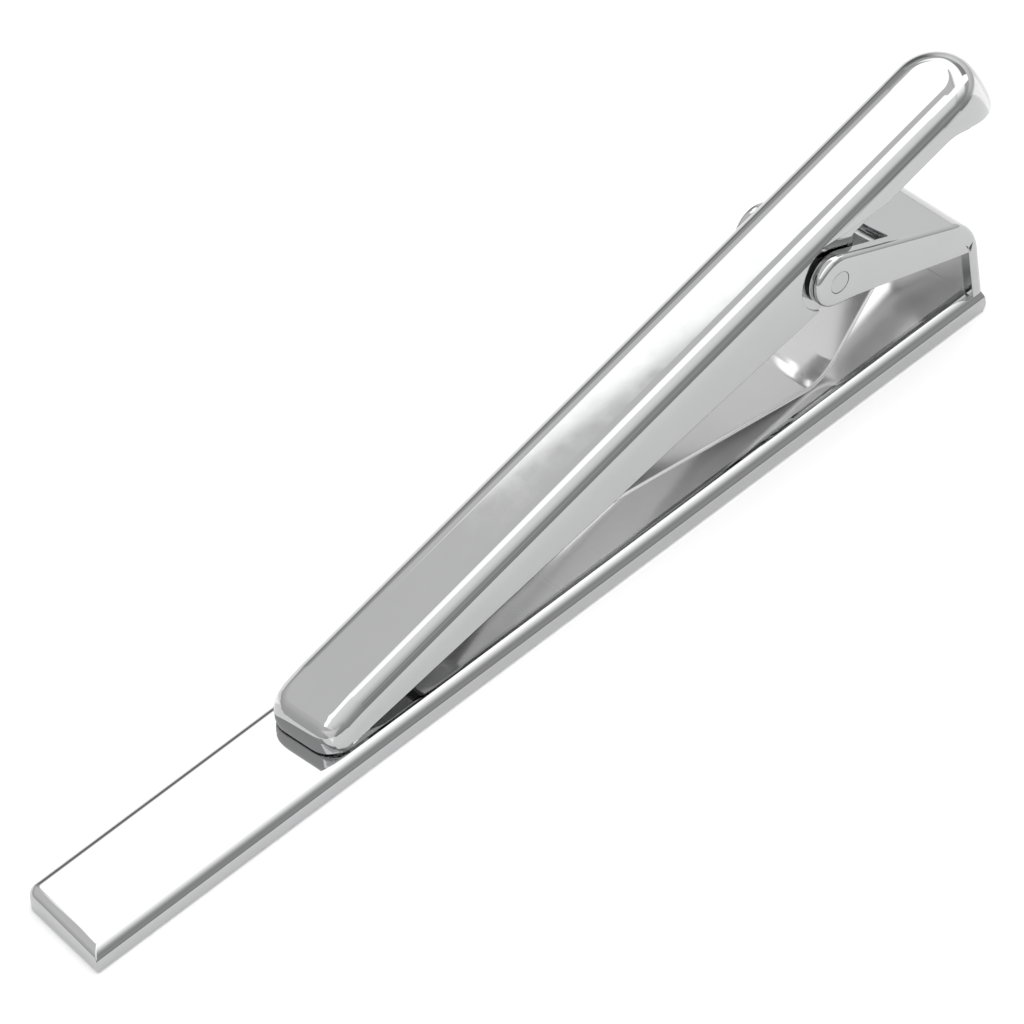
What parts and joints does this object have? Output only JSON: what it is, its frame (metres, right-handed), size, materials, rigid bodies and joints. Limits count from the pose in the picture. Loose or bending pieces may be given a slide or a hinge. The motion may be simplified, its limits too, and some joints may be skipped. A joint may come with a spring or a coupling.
{
  "type": "tie clip",
  "caption": "Tie clip with a flat front bar, a hinged channel lever that closes its jaw on the bar's back, a yoke with a riveted pin, and a leaf spring.",
  "frame": {"origin": "middle of the front face of the bar, the face that shows when the clip is worn", "axes": "+X along the bar towards the hinge end, +Y across the bar, +Z from the front face through the bar towards the lever"},
  "size_m": [0.058, 0.0054, 0.0124],
  "materials": {
    "plated_metal": "mirror-polished silver plating",
    "pin_metal": "polished rivet",
    "spring_metal": "plated spring strip, slightly less bright"
  },
  "bodies": {
    "front": {"front_bar": "plated_metal", "hinge_bracket": "plated_metal", "pivot_pin": "pin_metal", "leaf_spring": "spring_metal"},
    "lever": {"lever": "plated_metal"}
  },
  "joints": [
    {"name": "lever_hinge", "type": "hinge", "parent": "front", "child": "lever", "pos_m": [0.019, 0, 0.0078], "axis": [0, 1, 0], "range_deg": [0, 24], "stiffness_Nm_per_rad": 0.12, "springref_deg": -20.05, "deforming": ["leaf_spring"]}
  ]
}
